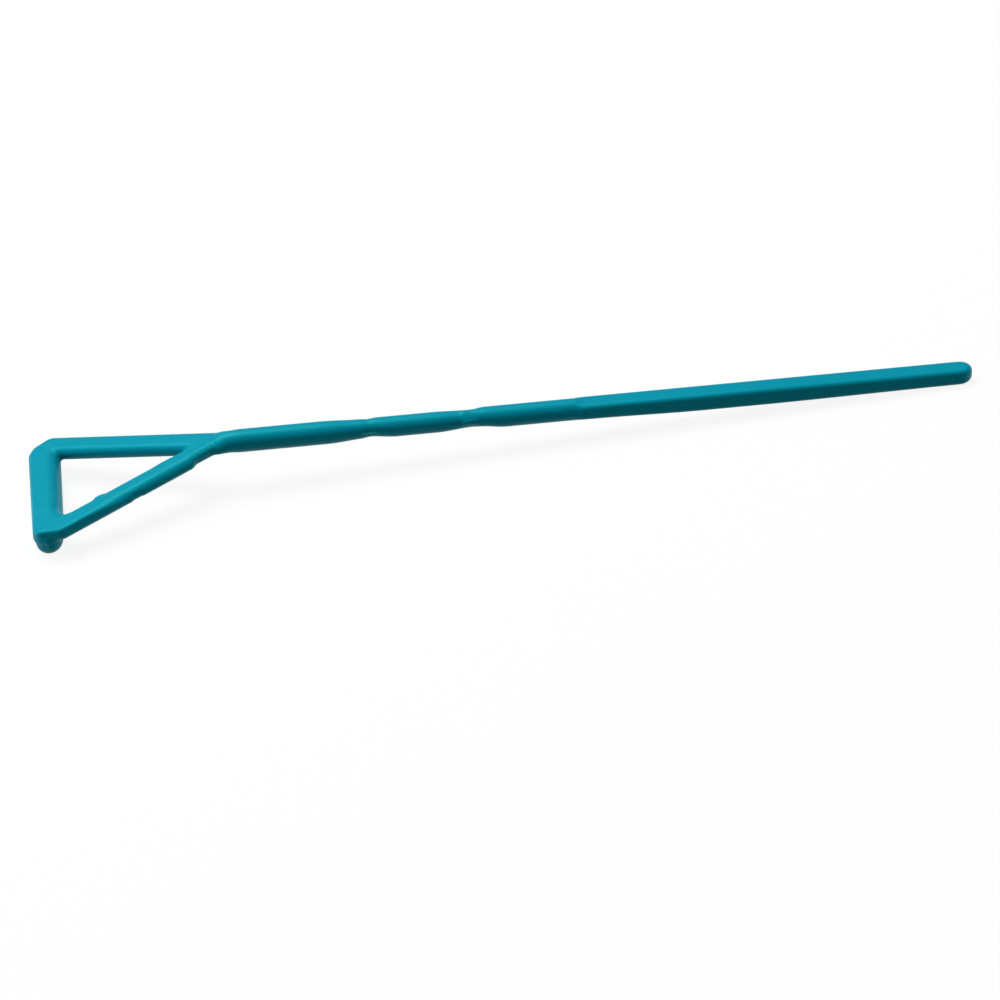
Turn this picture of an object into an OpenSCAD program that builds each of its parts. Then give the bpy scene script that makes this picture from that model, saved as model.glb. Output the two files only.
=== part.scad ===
// Cell spreader with a triangular head, moulded in one piece.
//
// The grip and the round neck share one line. The head is a flat frame, bent down
// from that line at the fork, and its front bar is deeper than its arms and rounded
// underneath. The spreader lies as it comes to rest on a bench: on the bar and on
// the tip of the grip.

/* [Head] */
// Distance from the fork to the centre line of the spreading bar
head_len = 33.3; // [26:0.1:40]
// Distance between the corners of the head, along the centre line of the bar
head_span = 29.9; // [26:0.1:36]
// Angle that the head is bent down from the line of the handle
head_bend = 12; // [6:0.1:18]
// How far the middle of the fork lies below the axis of the neck
head_drop = 0.25; // [0:0.05:0.5]
// Width of the two arms
arm_w = 4.6; // [3.8:0.05:5]
// Thickness of the two arms
arm_t = 2.7; // [2.4:0.05:3.2]
// Width of the spreading bar
bar_w = 5.4; // [4.8:0.05:6]
// Depth of the spreading bar, from the top of the arms to its rounded underside
bar_depth = 5.8; // [5:0.05:6.4]
// Radius of the long edges of the head
head_edge_r = 1.1; // [0.5:0.05:1.15]
// Distance from each outer corner to the ends of the slanted link across it
corner_cut = 2.0; // [1:0.1:3.5]

// How far each arm runs on past the fork, into the root of the neck
fork_overlap = 0.8; // [0.2:0.1:0.8]

/* [Neck] */
// Distance from the fork to the shoulder where the neck sinks into the grip
neck_len = 67.2; // [60:0.1:80]
// Diameter of the neck beside the head
front_neck_d = 4.15; // [3.8:0.05:5]
// Diameter of the neck between its two waists
middle_neck_d = 3.85; // [3.7:0.05:5]
// Diameter of the neck beside the grip
rear_neck_d = 3.95; // [3.8:0.05:5]
// Length of the cone at the root of the neck
root_len = 3.5; // [2:0.1:8]
// How far the root of the neck starts inside the head
root_inset = 1; // [0:0.1:2]
// Diameter at the two waists, where the neck is thinnest
waist_d = 3.4; // [3:0.05:3.6]
// Distance from the fork to the waist nearest the head
front_waist_x = 28; // [20:0.1:32]
// Distance from the fork to the waist nearest the grip
rear_waist_x = 48.4; // [45:0.1:52]
// Radius of the hollow that forms each waist, seen from the side
waist_curve_r = 35; // [25:1:60]

/* [Grip] */
// Distance from the fork to the tip of the grip
handle_len = 141.3; // [120:0.1:180]
// Width of the grip
grip_w = 4.4; // [4.2:0.05:6]
// Thickness of the grip
grip_t = 3.2; // [3.1:0.05:4.5]
// Radius of the long edges of the grip
grip_edge_r = 1.0; // [0.5:0.05:1.5]
// Length over which the end of the neck sinks into the grip
neck_fade = 20; // [5:0.5:30]

/* [Hidden] */
$fn = 64;

// Plan of the far half of the head, with the fork at the origin and the bar at -x
half_fork = atan2(head_span / 2, head_len);
arm_way = [-cos(half_fork), sin(half_fork)];
corner = [-head_len, head_span / 2];
arm_start = -fork_overlap * arm_way;
arm_end = corner - corner_cut * arm_way;
bar_end = corner - [0, corner_cut];

// The bar's rounded underside: its radius and how far its axis lies below the arms
bar_r = bar_w / 2;
bar_drop = bar_depth - arm_t / 2 - bar_r;

// Radius of the neck's narrow end, which stays under the top of the fork
root_r = arm_t / 2 - head_drop;

// Axes of the two roundings that touch the bench, seen from the side
bar_foot = [
    -head_len * cos(head_bend) + bar_drop * sin(head_bend),
    -head_len * sin(head_bend) - bar_drop * cos(head_bend) - head_drop
];
tip_foot = [handle_len - grip_edge_r, grip_edge_r - grip_t / 2];
feet = tip_foot - bar_foot;

// Pitch at which both touch the bench, the lift that sets them on it, and the shift
// that brings the middle of the whole length over the origin
rest_pitch = asin((bar_r - grip_edge_r) / norm(feet)) - atan2(-feet.y, feet.x);
rest_lift = bar_r + bar_foot.x * sin(rest_pitch) - bar_foot.y * cos(rest_pitch);
head_pitch = head_bend - rest_pitch;
front_x = -(head_len + bar_r - head_edge_r) * cos(head_pitch)
    - (arm_t / 2 - head_edge_r) * sin(head_pitch)
    - head_drop * sin(rest_pitch) - head_edge_r;
rear_x = (handle_len - grip_edge_r) * cos(rest_pitch)
    + (grip_t / 2 - grip_edge_r) * sin(rest_pitch) + grip_edge_r;
rest_shift = -(front_x + rear_x) / 2;

// Section of an arm or of the grip, flat on top and below
module flat_section(width, thickness, edge_r) {
    square([width - 2 * edge_r, thickness], center = true);
    square([width, thickness - 2 * edge_r], center = true);
    for (side = [-1, 1], face = [-1, 1])
        translate([side * (width / 2 - edge_r), face * (thickness / 2 - edge_r)])
            circle(edge_r);
}

// Section of the spreading bar, level with the arms on top and fully rounded below
module bar_section() {
    translate([0, -bar_drop])
        circle(bar_r);
    translate([-bar_r, -bar_drop])
        square([bar_w, bar_drop + arm_t / 2 - head_edge_r]);
    translate([head_edge_r - bar_r, -bar_drop])
        square([bar_w - 2 * head_edge_r, bar_drop + arm_t / 2]);
    for (side = [-1, 1])
        translate([side * (bar_r - head_edge_r), arm_t / 2 - head_edge_r])
            circle(head_edge_r);
}

// Straight length of a section between two points of the plan
module strut(from, to) {
    run = to - from;
    translate([from.x, from.y, 0])
        rotate([90, 0, atan2(run.y, run.x) + 90])
            linear_extrude(height = norm(run))
                children();
}

// Round end for a strut that runs up to a point: the same section turned about an
// upright axis there
module round_end(from, to) {
    run = to - from;
    translate([to.x, to.y, 0])
        rotate(atan2(run.y, run.x))
            rotate_extrude()
                intersection() {
                    children();
                    translate([0, -bar_depth])
                        square(2 * bar_depth);
                }
}

// Far half of the frame: an arm from the fork, the slanted link and the bar's round end
module head_side() {
    strut(arm_start, arm_end)
        flat_section(arm_w, arm_t, head_edge_r);
    round_end(bar_end, arm_end)
        flat_section(arm_w, arm_t, head_edge_r);
    strut(arm_end, bar_end)
        flat_section(arm_w, arm_t, head_edge_r);
    round_end([-head_len, 0], bar_end)
        bar_section();
}

module head() {
    head_side();
    mirror([0, 1, 0])
        head_side();
    strut([bar_end.x, -bar_end.y], bar_end)
        bar_section();
}

// Half of the neck's outline along +y, with the fork at the origin, before the waists
// are cut
module neck_outline() {
    polygon([
        [0, -root_inset],
        [root_r, -root_inset],
        [front_neck_d / 2, root_len - root_inset],
        [front_neck_d / 2, front_waist_x],
        [middle_neck_d / 2, front_waist_x],
        [middle_neck_d / 2, rear_waist_x],
        [rear_neck_d / 2, rear_waist_x],
        [rear_neck_d / 2, neck_len],
        [grip_t / 4, neck_len + neck_fade],
        [0, neck_len + neck_fade]
    ]);
}

module neck() {
    rotate([90, 0, 90])
        rotate_extrude()
            difference() {
                neck_outline();
                for (waist_x = [front_waist_x, rear_waist_x])
                    translate([waist_d / 2 + waist_curve_r, waist_x])
                        circle(waist_curve_r, $fn = 720);
            }
}

module grip() {
    shoulder = [neck_len, 0];
    tip = [handle_len - grip_w / 2, 0];
    strut(shoulder, tip)
        flat_section(grip_w, grip_t, grip_edge_r);
    round_end(shoulder, tip)
        flat_section(grip_w, grip_t, grip_edge_r);
}

module spreader() {
    color("darkcyan")
        translate([rest_shift, 0, rest_lift])
            rotate([0, rest_pitch, 0]) {
                translate([0, 0, -head_drop])
                    rotate([0, -head_bend, 0])
                        head();
                neck();
                grip();
            }
}

spreader();
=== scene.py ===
import math

import bpy
import numpy as np
from mathutils import Matrix, Vector


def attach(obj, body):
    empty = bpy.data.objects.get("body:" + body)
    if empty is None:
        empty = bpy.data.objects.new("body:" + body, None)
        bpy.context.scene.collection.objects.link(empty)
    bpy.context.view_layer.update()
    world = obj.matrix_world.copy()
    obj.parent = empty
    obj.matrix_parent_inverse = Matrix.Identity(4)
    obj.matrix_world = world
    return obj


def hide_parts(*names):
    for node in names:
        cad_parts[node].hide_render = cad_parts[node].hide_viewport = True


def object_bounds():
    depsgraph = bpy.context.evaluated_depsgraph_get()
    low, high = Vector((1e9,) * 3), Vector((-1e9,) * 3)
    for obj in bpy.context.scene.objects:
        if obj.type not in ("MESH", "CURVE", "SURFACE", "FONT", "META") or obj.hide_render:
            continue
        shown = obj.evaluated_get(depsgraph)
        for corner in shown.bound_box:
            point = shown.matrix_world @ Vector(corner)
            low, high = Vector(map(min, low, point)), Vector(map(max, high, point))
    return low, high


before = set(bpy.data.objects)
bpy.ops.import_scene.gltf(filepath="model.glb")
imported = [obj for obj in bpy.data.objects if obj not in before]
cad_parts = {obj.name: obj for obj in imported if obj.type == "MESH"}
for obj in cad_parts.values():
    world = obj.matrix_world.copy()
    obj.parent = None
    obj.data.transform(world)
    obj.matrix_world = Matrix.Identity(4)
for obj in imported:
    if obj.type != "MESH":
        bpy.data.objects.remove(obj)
cad_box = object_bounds()

bl_info = {
    "name": "Cell Spreader",
    "version": (1, 0, 0),
    "blender": (4, 5, 0),
    "location": "View3D > Sidebar > Cell Spreader",
    "description": "Moulds a plastic cell spreader with a bent triangular head and lays it on a bench",
    "category": "Add Mesh",
}

MM = 0.001
NODE = "spreader"
BODY = "root"
PLACE = "mould_place"
VOXEL = 0.25 * MM  # Cell size of the moulding's even mesh


# ---------------------------------------------------------------- sizes and settings


def size(label, text, millimetres):
    """A length property whose default is given in millimetres."""
    return bpy.props.FloatProperty(
        name=label, description=text, default=millimetres * MM, unit="LENGTH", precision=5
    )


def shade(label, text, hexadecimal):
    """A colour property whose default is given as an sRGB hex value."""
    return bpy.props.FloatVectorProperty(
        name=label, description=text, default=linear(hexadecimal), subtype="COLOR", min=0.0, max=1.0
    )


def linear(hexadecimal):
    """Linear red, green and blue of an sRGB hex value."""
    parts = [int(hexadecimal[i : i + 2], 16) / 255 for i in (1, 3, 5)]
    return tuple(p / 12.92 if p <= 0.04045 else ((p + 0.055) / 1.055) ** 2.4 for p in parts)


class HeadSizes(bpy.types.PropertyGroup):
    """Sizes of the triangular head, measured in its own plane."""

    length: size("Length", "From the fork to the centre line of the spreading bar", 33.3)
    span: size("Span", "Between the corners, along the centre line of the bar", 29.9)
    bend: bpy.props.FloatProperty(
        name="Bend",
        description="Angle that the head is bent down from the line of the handle",
        default=math.radians(12),
        unit="ROTATION",
    )
    drop: size("Drop", "How far the middle of the fork lies below the axis of the neck", 0.25)
    far_arm: size("Far arm", "Width of the arm on the +Y side", 4.8)
    near_arm: size("Near arm", "Width of the arm on the -Y side", 4.6)
    spread: size("Near arm's spread", "How far the near arm's end stands out of line", 0.15)
    near_shift: size("Near arm's shift", "How far the near arm lies towards the gap at the fork", 0.15)
    thickness: size("Thickness", "Thickness of the arms", 2.7)
    bar: size("Bar", "Width of the spreading bar", 5.4)
    depth: size("Depth", "From the top of the arms to the bar's rounded underside", 5.8)
    edge: size("Edge", "Radius of the edges that have no size of their own", 1.1)
    near_edge: size("Near edge", "Radius of the near arm's upper edge beside the gap", 1.5)
    outer_edge: size("Outer edge", "Radius of the near arm's other upper edge", 1.8)
    far_edge: size("Far edge", "Radius of the far arm's upper edge beside the gap", 1.35)
    low_edge: size("Low edge", "Radius of the arms' lower edges", 1.2)
    bar_edge: size("Bar's edge", "Radius of the bar's upper edge beside the gap", 1.2)
    end_edge: size("End edge", "Radius of the upper edge round the bar's near end", 0.7)
    bar_fill: size("Bar's fill", "How much further out the bar's gap side is, away from its near end", 0.2)
    bar_draft: size("Bar's draft", "How much further in the bar's gap side is at its top", 0.9)
    belly: size("Belly", "Radius of the bar's lower edge on its outer side", 2.3)
    lean: size("Lean", "How far the bar's underside lies further out than its top", 0.2)
    inset: size("Inset", "How far the bar's outer side is set in at the middle of the bar", 0.08)
    skew: size("Skew", "How much more it is set in at the near end, and less at the far end", 0.17)
    far_cut: size("Far cut", "From the far corner to the ends of the link across it", 2.0)
    far_bar_cut: size("Far end", "From the far corner to the bar's own end", 3.0)
    near_arm_cut: size("Near cut, arm", "From the near corner to the link's end on the arm", 2.9)
    near_bar_cut: size("Near cut, bar", "From the near corner to the link's end on the bar", 1.8)
    fillet: size("Fillet", "Reach of the fillets in the far and fork corners of the gap", 1.2)
    near_fillet: size("Near fillet", "Reach of the fillet in the near corner of the gap", 4.4)
    pinch: size("Pinch", "How far the near arm's outer side is pulled in beside the fork", 0.75)
    pinch_end: size("Pinch end", "From the fork to the end of the pinched stretch", 6.9)
    pinch_rise: size("Pinch rise", "Length of the shoulder at the end of the pinched stretch", 1.8)


class HandleSizes(bpy.types.PropertyGroup):
    """Sizes of the round neck and the flat grip, along the line of the handle."""

    length: size("Length", "From the fork to the tip of the grip", 141.3)
    neck: size("Neck", "From the fork to the shoulder of the grip", 67.2)
    front: size("Front neck", "Diameter of the neck beside the head", 4.33)
    middle: size("Middle neck", "Diameter of the neck between its waists", 3.9)
    rear: size("Rear neck", "Diameter of the neck beside the grip", 4.1)
    waist: size("Waist", "Depth of the hollow at the sides of each waist", 0.36)
    waist_more: size("Waist difference", "How much deeper it is below, and shallower above", 0.11)
    rear_more: size("Rear difference", "The same at the waist nearest the grip", 0.2)
    waist_in: size("Waist lead-in", "Length over which the neck narrows into a waist", 8.0)
    waist_out: size("Waist lead-out", "Length over which the neck thickens again, above", 2.6)
    waist_low_out: size("Low lead-out", "How much longer that length is below", 3.0)
    waist_shift: size("Waist shift", "How much nearer the grip a waist lies below, than at its sides", 0.7)
    front_waist: size("Front waist", "From the fork to the waist nearest the head", 27.4)
    rear_waist: size("Rear waist", "From the fork to the waist nearest the grip", 47.8)
    flash_start: size("Flash start", "From the fork to the start of the flash at the rear waist", 45.5)
    flash_end: size("Flash end", "From the fork to the end of that flash", 48.2)
    flash_reach: size("Flash reach", "How far the flash stands out from the neck's axis", 2.3)
    root: size("Root", "Length over which the neck thickens out of the fork", 5.4)
    root_inset: size("Root inset", "How far inside the head the neck's root starts", 1.0)
    shoulder: size("Shoulder", "Half the length in which the round neck turns into the grip", 0.8)
    thin: size("Thin start", "How much thinner the grip is right behind the shoulder", 0.43)
    thin_length: size("Thin start's length", "Length over which it reaches its full thickness", 24.0)
    width: size("Grip width", "Width of the grip", 4.4)
    top: size("Grip top", "Height of the grip's flat top above the line of the handle", 1.6)
    rest: size("Rest", "How far below the line of the handle the tip touches the bench", 1.6)
    thickness: size("Grip thickness", "Thickness of the grip, before it tapers", 3.58)
    taper: size("Taper", "How much the underside rises towards the tip", 0.38)
    taper_length: size("Taper length", "Length over which the underside rises", 42.0)
    edge: size("Grip edge", "Radius of the grip's long edges", 1.0)
    tip: size("Tip", "Length of the rounded tip", 2.3)
    tip_edge: size("Tip edge", "How much rounder the edges are at the tip, below", 0.3)
    blend: size("Fork blend", "Reach of the fillets between the neck and the fork", 1.3)


class PlasticFinish(bpy.types.PropertyGroup):
    """Colours and surface of the injection-moulded plastic."""

    teal: shade("Teal", "Colour of the plastic", "#0097B0")
    deep_teal: shade("Deep teal", "Colour where the pigment flowed thicker", "#0090A8")
    sheen: shade("Sheen", "Tint of the satin sheen", "#00FFE6")
    # Partly a painted highlight: the seam's paler colour stands for light caught by its tiny ridge
    parting: shade("Parting line", "Colour of the thin line where the mould's halves met", "#2FB4C2")
    # Painted glint: this bright colour stands for light caught by the flash's edge at the front waist
    flash: shade("Flash", "Colour of the thin flash on that line at the front waist", "#58F4F6")


class StageSettings(bpy.types.PropertyGroup):
    """Colour of the bench and lens of the camera."""

    floor: shade("Bench", "Colour of the bench", "#FAFAFA")
    lens: bpy.props.FloatProperty(name="Lens", description="Focal length", default=151.2, min=1.0)


# ---------------------------------------------------------------- form of the moulding


# A reach that is as good as none, so that nothing is divided by 0
SHARP = 1e-9

# Stretches over which one form of the head passes into the next, as start and end
SIDE_RAMP = (0.0, MM)  # past a centre line, from the gap side to the outer side
LOWER_RAMP = (-0.8 * MM, 0.4 * MM)  # downwards, from an arm's upper half to its lower half
CORNER_RAMP = (-MM, MM)  # past the bar's gap side, from the bar to the far arm
FILL_RAMP = 2.5 * MM  # length, from the bar's near end, over which its fill grows
PINCH_RAMP = (-2.0 * MM, MM)  # along the near arm, where its pinch starts at the fork
ARM_RAMP = (-0.5 * MM, 0.5 * MM)  # across the middle, from the far arm's edges to the near arm's
BAR_RAMP = (-0.6 * MM, 0.6 * MM)  # from the arms' edges to the bar's
END_RAMP = (10.0 * MM, 14.0 * MM)  # across the head, towards the bar's near end
END_SIDE_RAMP = (-1.5 * MM, -0.5 * MM)  # across the near arm, up to its centre line
GAP_RAMP = (0.0, 0.5 * MM)  # from the centre lines into the gap
FILLET_RAMP = (0.0, 3.0 * MM)  # across the head, from the far fillet to the near one
SPINE_RAMP = (-0.2 * MM, 0.8 * MM)  # downwards, where the plate and the bar's rib are filleted
SPINE_FILLET = MM  # reach of that fillet
UPPER_PINCH = 0.35  # share of the pinch that the near arm's upper half has

# The neck: how far either side of a waist its diameter changes, and the share of its radius that
# its edges are rounded by, which is nearly all, so that the section is round
NECK_RAMP = MM
ROUND = 0.999
TIP_SOFTENING = 1.5  # lengths of the tip over which its lower edge grows rounder

# The flash at the rear waist: its slope, how far it reaches below the parting line, its fillet
FLASH_SLOPE = math.radians(50)
FLASH_LOW = 0.15 * MM
FLASH_FILLET = 0.5 * MM

# Lumps and hollows left by the mould on the near arm's two sides, in mm: start and end
# measured from the fork, how far each stands out, and the length of its ramps
OUTER_LUMPS = ((17.3, 19.4, -0.22, 0.8),)
GAP_LUMPS = ((8.5, 12.5, 0.12, 2.0), (23.3, 25.3, 0.50, 1.2))


def rise(x, start, end):
    """0 before the start, 1 after the end, and smooth between them."""
    share = np.clip((x - start) / (end - start), 0.0, 1.0)
    return share * share * (3.0 - 2.0 * share)


def blend_min(first, second, reach):
    """Lower of two distances, with a fillet where they cross. A reach of 0 leaves them sharp."""
    reach = np.maximum(reach, SHARP)
    share = np.clip(0.5 + 0.5 * (second - first) / reach, 0.0, 1.0)
    return second + (first - second) * share - reach * share * (1.0 - share)


def from_line(x, y, start, end):
    """Distance in plan from the straight centre line between two points."""
    run_x, run_y = end[0] - start[0], end[1] - start[1]
    share = ((x - start[0]) * run_x + (y - start[1]) * run_y) / (run_x**2 + run_y**2)
    share = np.clip(share, 0.0, 1.0)
    return np.hypot(x - start[0] - share * run_x, y - start[1] - share * run_y)


def window(x, start, end, ramp):
    """1 between the start and the end, 0 outside them, with a smooth ramp at each."""
    return rise(x, start - ramp / 2, start + ramp / 2) * (1.0 - rise(x, end - ramp / 2, end + ramp / 2))


def rounded(side, z, top, bottom, top_edge, low_edge):
    """Distance from a section with a flat top and underside, from the distance past its side."""
    up = 2 * z > (top - top_edge) + (bottom + low_edge)
    edge = np.where(up, top_edge, low_edge)
    past_side = side + edge
    past_face = np.where(up, z - top, bottom - z) + edge
    within = np.minimum(np.maximum(past_side, past_face), 0.0)
    return within + np.hypot(np.maximum(past_side, 0.0), np.maximum(past_face, 0.0)) - edge


def head_distance(x, y, z, head):
    """Distance from the head's surface, in the head's own frame: fork at the origin, bar at -x."""
    half_fork = math.atan2(head.span / 2, head.length)
    cos, sin = math.cos(half_fork), math.sin(half_fork)
    reach = math.hypot(head.span / 2, head.length)
    far_end = ((head.far_cut - reach) * cos, (reach - head.far_cut) * sin)
    near_end = ((head.near_arm_cut - reach) * cos, (head.near_arm_cut - reach) * sin)
    near_end = (near_end[0] + head.spread * sin, near_end[1] - head.spread * cos)
    near_start = (-head.near_shift * sin, head.near_shift * cos)
    far_link = (-head.length, head.span / 2 - head.far_cut)
    far_bar = (-head.length, head.span / 2 - head.far_bar_cut)
    near_bar = (-head.length, head.near_bar_cut - head.span / 2)
    far = np.minimum(from_line(x, y, (0.0, 0.0), far_end), from_line(x, y, far_end, far_link))
    far = far - head.far_arm / 2
    near = np.minimum(from_line(x, y, near_start, near_end), from_line(x, y, near_end, near_bar))
    near = near - head.near_arm / 2
    out = x + head.lean * np.clip(0.5 - z / head.depth, 0.0, 1.0)
    bar = from_line(out, y, near_bar, far_bar) - head.bar / 2

    # Masks: 1 on one side of a centre line, or in an arm's lower half, and 0 on the other
    past_far, past_near = -x * sin - y * cos, x * sin - y * cos
    far_gap = rise(past_far, *SIDE_RAMP) * rise(x + head.length - head.bar / 2, *CORNER_RAMP)
    near_out = rise(past_near, *SIDE_RAMP)
    lower = rise(-z, *LOWER_RAMP)
    bar_out = rise(-x - head.length, *SIDE_RAMP)
    set_in = head.inset - head.skew * np.clip(2 * y / head.span, -1.0, 1.0)
    fill = head.bar_fill * rise(y, near_bar[1], near_bar[1] + FILL_RAMP)
    bar = bar + set_in * bar_out - fill * (1.0 - bar_out)

    # The near arm's outer side is pinched in beside the fork, and less so in its upper half
    along = -x * cos - y * sin
    pinch = head.pinch * (1.0 - rise(along, head.pinch_end - head.pinch_rise, head.pinch_end))
    pinch = pinch * (UPPER_PINCH + (1.0 - UPPER_PINCH) * lower) * rise(along, *PINCH_RAMP)
    near = near + pinch * near_out
    for lumps, beside in ((OUTER_LUMPS, near_out * lower), (GAP_LUMPS, rise(-past_near, *SIDE_RAMP))):
        for start, end, height, ramp in lumps:
            near = near - height * MM * beside * window(along, start * MM, end * MM, ramp * MM)

    # The bar's gap side leans in towards the top, more and more steeply
    up = np.clip(z / head.thickness + 0.5, 0.0, 1.0) ** 2
    bar = bar + head.bar_draft * up * (1.0 - bar_out)

    # Each upper edge has its own radius, which changes smoothly from one to the next
    near_edge = head.near_edge + (head.outer_edge - head.near_edge) * near_out
    far_edge = head.edge + (head.far_edge - head.edge) * far_gap
    edge = far_edge + (near_edge - far_edge) * rise(-y, *ARM_RAMP)
    bar_edge = head.bar_edge + (head.edge - head.bar_edge) * bar_out
    edge = edge + (bar_edge - edge) * rise(np.minimum(far, near) - bar, *BAR_RAMP)
    at_end = rise(-y, *END_RAMP) * rise(past_near, *END_SIDE_RAMP)
    edge = edge + (head.end_edge - edge) * at_end

    # Fillets only in the gap's corners: the reach fades to nothing outside the centre lines
    between_arms = rise(-np.abs(y) * cos - x * sin, *GAP_RAMP)
    inside = np.minimum(between_arms, rise(x + head.length, *GAP_RAMP))
    fillet = head.fillet + (head.near_fillet - head.fillet) * rise(-y, *FILLET_RAMP)
    plan = blend_min(far, near, head.fillet * inside)
    plan = blend_min(plan, bar, fillet * inside)
    top = head.thickness / 2
    plate = rounded(plan, z, top, -top, edge, head.low_edge)
    belly = head.bar / 2 + (head.belly - head.bar / 2) * bar_out
    spine = rounded(bar, z, top, top - head.depth, edge, belly)
    return blend_min(plate, spine, SPINE_FILLET * rise(-z, *SPINE_RAMP))


def handle_distance(x, y, z, handle):
    """Distance from the neck and grip, with the fork at the origin and the tip at +x."""
    front, rear = handle.front_waist, handle.rear_waist
    past_front = rise(x, front - NECK_RAMP, front + NECK_RAMP)
    past_rear = rise(x, rear - NECK_RAMP, rear + NECK_RAMP)
    diameter = handle.front + (handle.middle - handle.front) * past_front
    diameter = diameter + (handle.rear - handle.middle) * past_rear
    radius = diameter / 2
    low = np.clip(-z / radius, -1.0, 1.0)
    waist_out = handle.waist_out + handle.waist_low_out * (0.5 + 0.5 * low)
    for waist, more in ((front, handle.waist_more), (rear, handle.rear_more)):
        away = x - waist - handle.waist_shift * low
        away = away / np.where(away < 0.0, handle.waist_in, waist_out)
        hollow = 0.5 + 0.5 * np.cos(math.pi * np.clip(away, -1.0, 1.0))
        radius = radius - (handle.waist + more * low) * hollow

    # The root swells out of the head like the end of an egg
    back = np.clip((handle.root - handle.root_inset - x) / handle.root, 0.0, 1.0)
    radius = radius * np.sqrt(1.0 - back**2)

    # From a round section to the flat-sided one over a short shoulder
    flat = rise(x, handle.neck - handle.shoulder, handle.neck + handle.shoulder)
    raised = handle.taper * rise(x, handle.length - handle.taper_length, handle.length)
    raised = raised + handle.thin * (1.0 - rise(x, handle.neck, handle.neck + handle.thin_length))
    thickness = handle.thickness - raised
    half_w = radius + (handle.width / 2 - radius) * flat
    half_t = radius + (thickness / 2 - radius) * flat
    edge = radius * ROUND + (handle.edge - radius * ROUND) * flat
    centre = flat * (handle.top - thickness / 2)

    # The tip is half an ellipse in plan, and its lower edge grows rounder towards the end
    past = np.maximum(x - (handle.length - handle.tip), 0.0) * (handle.width / 2 / handle.tip)
    softening = handle.length - TIP_SOFTENING * handle.tip
    low_edge = edge + handle.tip_edge * rise(x, softening, handle.length)
    side = np.hypot(y, past) - half_w
    body = rounded(side, z, centre + half_t, centre - half_t, edge, low_edge)
    body = np.maximum(body, -x - handle.root_inset)

    # Flash at the rear waist: a web that slopes down to the parting line on the -Y side
    slope = -y * math.cos(FLASH_SLOPE) + z * math.sin(FLASH_SLOPE) - handle.middle / 2 + handle.waist
    middle = (handle.flash_start + handle.flash_end) / 2
    ends = np.abs(x - middle) - (handle.flash_end - handle.flash_start) / 2
    web = np.maximum.reduce((slope, -z - FLASH_LOW, -y - handle.flash_reach, ends, y))
    return blend_min(body, web, FLASH_FILLET)


def spreader_distance(points, head, handle):
    """Distance from the whole moulding, in the line of the handle."""
    x, y, z = points
    turn, low = head.bend, z + head.drop
    head_x = x * math.cos(turn) + low * math.sin(turn)
    head_z = -x * math.sin(turn) + low * math.cos(turn)
    return blend_min(
        head_distance(head_x, y, head_z, head), handle_distance(x, y, z, handle), handle.blend
    )


# Settling: its rounds, the nudge that a slope is measured over, the least steep slope that it
# divides by, and the longest step of a point in one round
ROUNDS = 8
NUDGE = 0.02 * MM
LEAST_STEEP = 0.2
LONGEST_STEP = 0.3 * MM


def settle(points, head, handle):
    """Moves points onto the moulding's surface along its slope."""
    for _ in range(ROUNDS):
        here = spreader_distance(points, head, handle)
        slope = np.empty_like(points)
        for axis in range(3):
            ahead, behind = points.copy(), points.copy()
            ahead[axis] += NUDGE
            behind[axis] -= NUDGE
            rate = spreader_distance(ahead, head, handle) - spreader_distance(behind, head, handle)
            slope[axis] = rate / (2 * NUDGE)
        steep = np.maximum((slope**2).sum(axis=0), LEAST_STEEP)
        points = points - slope * np.clip(here / steep, -LONGEST_STEP, LONGEST_STEP)
    return points


def rest_pose(head, handle):
    """Matrix from the line of the handle to the bench, where the bar and the tip both touch it."""
    bar_r = head.bar / 2
    bar_drop = head.depth - head.thickness / 2 - bar_r
    bar_x = -head.length * math.cos(head.bend) + bar_drop * math.sin(head.bend)
    bar_z = -head.length * math.sin(head.bend) - bar_drop * math.cos(head.bend) - head.drop
    tip_x = handle.length - handle.edge
    tip_z = handle.edge - handle.rest
    across, up = tip_x - bar_x, bar_z - tip_z
    pitch = math.asin((bar_r - handle.edge) / math.hypot(across, up)) - math.atan2(up, across)
    lift = bar_r + bar_x * math.sin(pitch) - bar_z * math.cos(pitch)
    tip = tip_x * math.cos(pitch) - tip_z * math.sin(pitch) + handle.edge
    return Matrix.Translation((cad_box[1].x - tip, 0.0, lift)) @ Matrix.Rotation(pitch, 4, "Y")


# ---------------------------------------------------------------- material


def add_node(tree, kind, settings=(), links=()):
    """Adds a shader node, sets its properties and inputs, and links other outputs into it."""
    node = tree.nodes.new(kind)
    for key, value in dict(settings).items():
        if isinstance(key, str) and hasattr(node, key) and key not in node.inputs:
            setattr(node, key, value)
        else:
            node.inputs[key].default_value = value
    for key, socket in dict(links).items():
        tree.links.new(socket, node.inputs[key])
    return node


# Marks on the neck: from where the parting line is gone to where it is full, as heights off its
# middle, and the places in mm from the fork between which the line and the painted glint fade.
# The line is a real seam, painted paler as a painted highlight of its tiny ridge
LINE_HEIGHTS = (0.20 * MM, 0.08 * MM)
LINE_FADES = ((3.0, 8.0), (50.0, 44.0))
GLINT_FADES = ((26.2, 27.2), (29.6, 28.6))


def faded_mark(tree, mark, along, fades):
    """A moulding mark's strength, faded out along the neck outside each pair of places."""
    for gone, full in fades:
        share = add_node(
            tree,
            "ShaderNodeMapRange",
            {"interpolation_type": "SMOOTHSTEP", "From Min": gone * MM, "From Max": full * MM},
            {"Value": along},
        ).outputs["Result"]
        mark = add_node(
            tree, "ShaderNodeMath", {"operation": "MULTIPLY"}, {0: mark, 1: share}
        ).outputs[0]
    return mark


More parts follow.
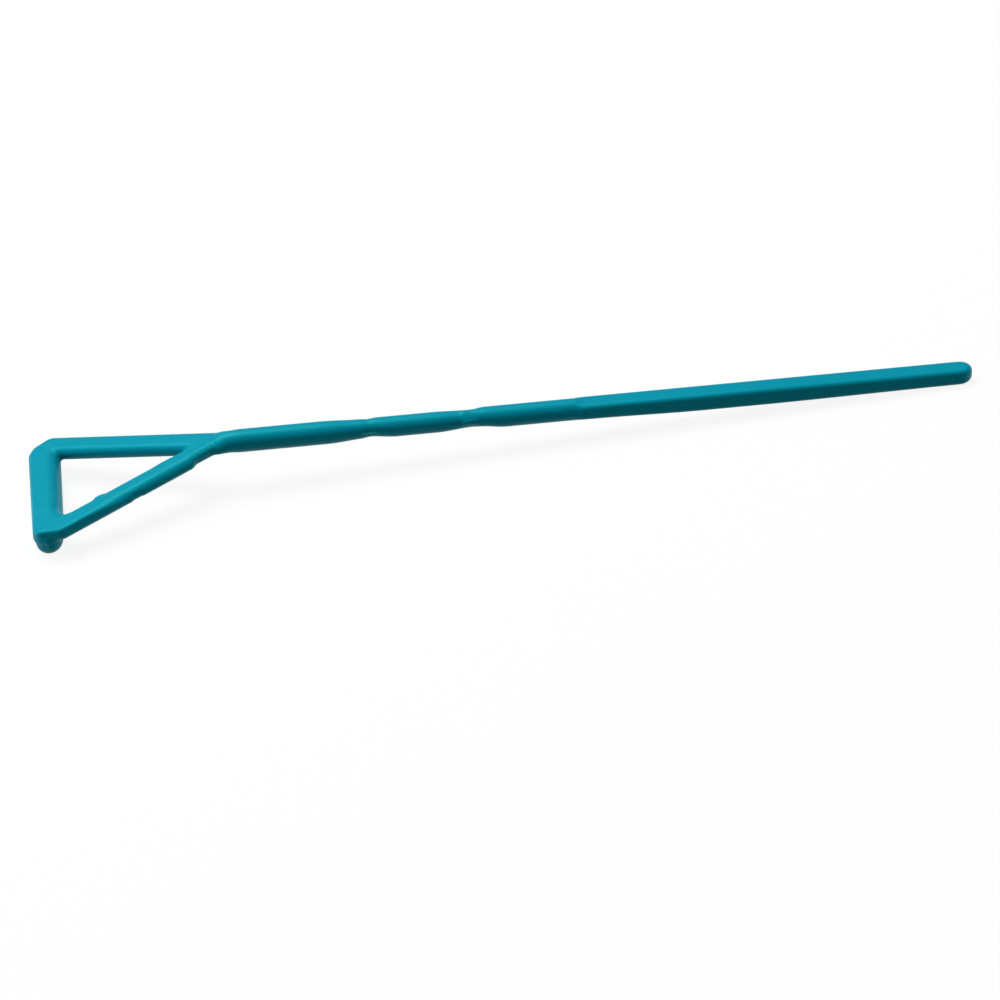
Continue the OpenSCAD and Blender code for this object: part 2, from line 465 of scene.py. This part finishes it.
def moulded_plastic(finish):
    """Polypropylene, injection moulded in a satin steel mould and pigmented teal.

    It has a soft sheen, a very fine even grain, slight streaks where the melt flowed along
    the handle, and a thin pale line where the mould's halves met, whose paleness is partly a
    painted highlight of that seam's tiny ridge, with a painted glint on it at the front waist.
    """
    material = bpy.data.materials.new("teal_polypropylene_satin_moulded")
    material.use_nodes = True
    tree = material.node_tree
    tree.nodes.clear()
    place = add_node(tree, "ShaderNodeTexCoord").outputs["Object"]

    # Streaks where the melt flowed along the moulding
    streak_length, streak_width = 20 * MM, 1.5 * MM
    streak_place = add_node(
        tree,
        "ShaderNodeMapping",
        {"Scale": (1 / streak_length, 1 / streak_width, 1 / streak_width)},
        {"Vector": place},
    ).outputs["Vector"]
    streaks = add_node(
        tree, "ShaderNodeTexNoise", {"Scale": 1.0, "Detail": 3.0}, {"Vector": streak_place}
    ).outputs["Fac"]
    colour = add_node(
        tree,
        "ShaderNodeMix",
        {"data_type": "RGBA", 6: (*finish.teal, 1.0), 7: (*finish.deep_teal, 1.0)},
        {0: streaks},
    ).outputs[2]

    # The parting line runs along both sides of the neck at mid-height, 0.3 mm wide and dim; its paler
    # colour is partly a painted highlight of the seam's tiny ridge. At the front waist a painted glint
    # lies on it, a bright band standing for light caught by the flash's edge
    spot = add_node(tree, "ShaderNodeAttribute", {"attribute_name": PLACE}).outputs["Vector"]
    spot = add_node(tree, "ShaderNodeSeparateXYZ", {}, {"Vector": spot}).outputs
    height = add_node(
        tree, "ShaderNodeMath", {"operation": "ABSOLUTE"}, {0: spot["Z"]}
    ).outputs[0]
    gone, full = LINE_HEIGHTS
    line = add_node(
        tree,
        "ShaderNodeMapRange",
        {"interpolation_type": "SMOOTHSTEP", "From Min": gone, "From Max": full},
        {"Value": height},
    ).outputs["Result"]
    line = faded_mark(tree, line, spot["X"], LINE_FADES)
    # Painted glint on the flash at the front waist
    painted_glint = faded_mark(tree, line, spot["X"], GLINT_FADES)
    # Painted highlight, in part: the parting seam is drawn paler where its ridge would catch light
    seam_and_highlight = add_node(
        tree, "ShaderNodeMath", {"operation": "MULTIPLY"}, {0: line, 1: streaks}
    ).outputs[0]
    # Mixes in the seam's painted highlight and the flash's painted glint
    for amount, tint in ((seam_and_highlight, finish.parting), (painted_glint, finish.flash)):
        colour = add_node(
            tree,
            "ShaderNodeMix",
            {"data_type": "RGBA", 7: (*tint, 1.0)},
            {0: amount, 6: colour},
        ).outputs[2]

    # Satin grain of the mould, drawn coarser than a real mould's, which is too fine to show
    grain_size = 0.35 * MM
    grain = add_node(
        tree, "ShaderNodeTexNoise", {"Scale": 1 / grain_size, "Detail": 2.0}, {"Vector": place}
    ).outputs["Fac"]
    bump = add_node(
        tree, "ShaderNodeBump", {"Strength": 0.06, "Distance": 0.02 * MM}, {"Height": grain}
    ).outputs["Normal"]
    rough = add_node(
        tree, "ShaderNodeMapRange", {"To Min": 0.44, "To Max": 0.48}, {"Value": streaks}
    ).outputs["Result"]
    surface = add_node(
        tree,
        "ShaderNodeBsdfPrincipled",
        {"IOR": 1.49, "Specular Tint": (*finish.sheen, 1.0)},
        {"Base Color": colour, "Roughness": rough, "Normal": bump},
    )
    add_node(tree, "ShaderNodeOutputMaterial", {}, {"Surface": surface.outputs["BSDF"]})
    return material


# The bench: the grey of the light that it scatters back to the object, and the share of its
# brightness that no shadow of the object darkens
BENCH_RETURN = 0.13
BENCH_EVENNESS = 0.9


def bench_laminate(settings):
    """White laminate, pressed smooth and matt, which shows only the soft shadow.

    The camera sees it at its own colour, and it sends little light back to the object.
    """
    material = bpy.data.materials.new("white_laminate_matt")
    material.use_nodes = True
    tree = material.node_tree
    tree.nodes.clear()
    rays = add_node(tree, "ShaderNodeLightPath").outputs
    seen = add_node(
        tree,
        "ShaderNodeMath",
        {"operation": "MAXIMUM"},
        {0: rays["Is Camera Ray"], 1: rays["Is Glossy Ray"]},
    ).outputs[0]
    seen = add_node(
        tree, "ShaderNodeMath", {"operation": "MAXIMUM"}, {0: seen, 1: rays["Is Transmission Ray"]}
    ).outputs[0]
    returned = (BENCH_RETURN, BENCH_RETURN, BENCH_RETURN, 1.0)
    dim = add_node(tree, "ShaderNodeBsdfDiffuse", {"Color": returned}).outputs[0]
    shaded = add_node(tree, "ShaderNodeBsdfDiffuse", {"Color": (*settings.floor, 1.0)}).outputs[0]
    even = add_node(tree, "ShaderNodeEmission", {"Color": (1.0, 1.0, 1.0, 1.0)}).outputs[0]
    bright = add_node(
        tree, "ShaderNodeMixShader", {0: BENCH_EVENNESS}, {1: shaded, 2: even}
    ).outputs[0]
    mixed = add_node(tree, "ShaderNodeMixShader", {}, {0: seen, 1: dim, 2: bright}).outputs[0]
    add_node(tree, "ShaderNodeOutputMaterial", {}, {"Surface": mixed})
    return material


# ---------------------------------------------------------------- operators


BENCH_REACH = 9.0
WORLD_LIGHT = 0.105

# Name, place, breadth and power of each lamp, and whether the object's sheen mirrors it. The side
# lamps only fill, so the satin plastic doesn't mirror them
LAMPS = (
    ("overhead_softbox", (-0.28, 0.3, 1.06), 0.8, 12.6, True),
    ("right_softbox", (0.98, 0.1, 0.17), 0.6, 3.1, False),
    ("left_softbox", (-0.98, 0.1, 0.17), 0.6, 3.9, False),
)

# The camera: what it looks at, how far off it stands, and its turn, height and tilt in degrees
AIM = Vector((-3.389, -25.489, 5.0)) * MM
STAND_OFF = 758.51 * MM
AZIMUTH, ELEVATION, ROLL = -2.721, 33.26, -6.739
SENSOR = 36.0
NEAREST, FURTHEST = 0.05, 30.0


class SPREADER_OT_mould(bpy.types.Operator):
    """Mould the spreader: one smooth mesh of its head, neck and grip, in satin plastic"""

    bl_idname = "spreader.mould"
    bl_label = "Mould the Spreader"

    def execute(self, context):
        head, handle = context.scene.spreader_head, context.scene.spreader_handle
        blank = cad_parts[NODE]
        piece = bpy.data.objects.new("spreader_moulding", blank.data.copy())
        context.scene.collection.objects.link(piece)

        # An even mesh of the solid, whose points then settle on the moulding's own surface
        remesh = piece.modifiers.new("even_mesh", "REMESH")
        remesh.mode = "VOXEL"
        remesh.voxel_size = VOXEL
        context.view_layer.update()
        even = bpy.data.meshes.new_from_object(
            piece.evaluated_get(context.evaluated_depsgraph_get())
        )
        piece.modifiers.clear()
        piece.data = even
        if not even.polygons:
            raise RuntimeError("the solid's mesh came back empty from the remesh")
        points = np.empty(len(even.vertices) * 3, np.float32)
        even.vertices.foreach_get("co", points)
        pose = np.array(rest_pose(head, handle))
        turn, shift = pose[:3, :3], pose[:3, 3:]
        points = turn.T @ (points.reshape(-1, 3).T.astype(float) - shift)
        points = settle(points, head, handle)
        place = even.attributes.new(PLACE, "FLOAT_VECTOR", "POINT")
        place.data.foreach_set("vector", points.T.astype(np.float32).ravel())

        # Back on the bench, where no point may lie below its top
        points = turn @ points + shift
        points[2] = np.maximum(points[2], 0.0)
        even.vertices.foreach_set("co", points.T.astype(np.float32).ravel())
        even.polygons.foreach_set("use_smooth", [True] * len(even.polygons))
        even.materials.clear()
        even.materials.append(moulded_plastic(context.scene.spreader_finish))
        even.update()
        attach(piece, BODY)
        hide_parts(NODE)
        return {"FINISHED"}


class SPREADER_OT_stage(bpy.types.Operator):
    """Lay out the bench, the lamps, the world's light and the camera"""

    bl_idname = "spreader.stage"
    bl_label = "Set the Stage"

    def execute(self, context):
        scene, settings = context.scene, context.scene.spreader_stage
        bench = bpy.data.meshes.new("bench")
        corners = [(-1, -1), (1, -1), (1, 1), (-1, 1)]
        corners = [(BENCH_REACH * x, BENCH_REACH * y, 0.0) for x, y in corners]
        bench.from_pydata(corners, [], [(0, 1, 2, 3)])
        bench.materials.append(bench_laminate(settings))
        floor = bpy.data.objects.new("bench", bench)
        scene.collection.objects.link(floor)

        world = bpy.data.worlds.new("plain_light")
        world.use_nodes = True
        tree = world.node_tree
        tree.nodes.clear()
        light = add_node(
            tree, "ShaderNodeBackground", {"Color": (1.0, 1.0, 1.0, 1.0), "Strength": WORLD_LIGHT}
        ).outputs[0]
        add_node(tree, "ShaderNodeOutputWorld", {}, {"Surface": light})
        scene.world = world

        for name, place, breadth, power, mirrored in LAMPS:
            lamp = bpy.data.lights.new(name, "AREA")
            lamp.shape = "DISK"
            lamp.size = breadth
            lamp.energy = power
            holder = bpy.data.objects.new(name, lamp)
            holder.location = place
            holder.rotation_euler = (-Vector(place)).to_track_quat("-Z", "Y").to_euler()
            holder.visible_glossy = mirrored
            scene.collection.objects.link(holder)

        camera = bpy.data.cameras.new("camera")
        camera.lens = settings.lens
        camera.sensor_width = SENSOR
        camera.clip_start = NEAREST
        camera.clip_end = FURTHEST
        eye = bpy.data.objects.new("camera", camera)
        azimuth, elevation, roll = (math.radians(angle) for angle in (AZIMUTH, ELEVATION, ROLL))
        back = Vector(
            (
                math.sin(azimuth) * math.cos(elevation),
                -math.cos(azimuth) * math.cos(elevation),
                math.sin(elevation),
            )
        )
        eye.location = AIM + back * STAND_OFF
        turned = (-back).to_track_quat("-Z", "Y").to_matrix()
        eye.rotation_euler = (turned @ Matrix.Rotation(roll, 3, "Z")).to_euler()
        scene.collection.objects.link(eye)
        scene.camera = eye
        scene.view_settings.view_transform = "Standard"
        return {"FINISHED"}


class SPREADER_PT_panel(bpy.types.Panel):
    """Lists the steps that make the spreader and its stage"""

    bl_idname = "SPREADER_PT_panel"
    bl_label = "Cell Spreader"
    bl_space_type = "VIEW_3D"
    bl_region_type = "UI"
    bl_category = "Cell Spreader"

    def draw(self, context):
        for operator in OPERATORS:
            self.layout.operator(operator.bl_idname)


SETTINGS = {
    "spreader_head": HeadSizes,
    "spreader_handle": HandleSizes,
    "spreader_finish": PlasticFinish,
    "spreader_stage": StageSettings,
}
OPERATORS = (SPREADER_OT_mould, SPREADER_OT_stage)


def register():
    for name, group in SETTINGS.items():
        bpy.utils.register_class(group)
        setattr(bpy.types.Scene, name, bpy.props.PointerProperty(type=group))
    for kind in (*OPERATORS, SPREADER_PT_panel):
        bpy.utils.register_class(kind)


def unregister():
    for kind in (SPREADER_PT_panel, *reversed(OPERATORS)):
        bpy.utils.unregister_class(kind)
    for name, group in SETTINGS.items():
        delattr(bpy.types.Scene, name)
        bpy.utils.unregister_class(group)


def main():
    """Makes the piece and its stage."""
    register()
    bpy.ops.spreader.mould()
    bpy.ops.spreader.stage()


if __name__ == "__main__":
    main()
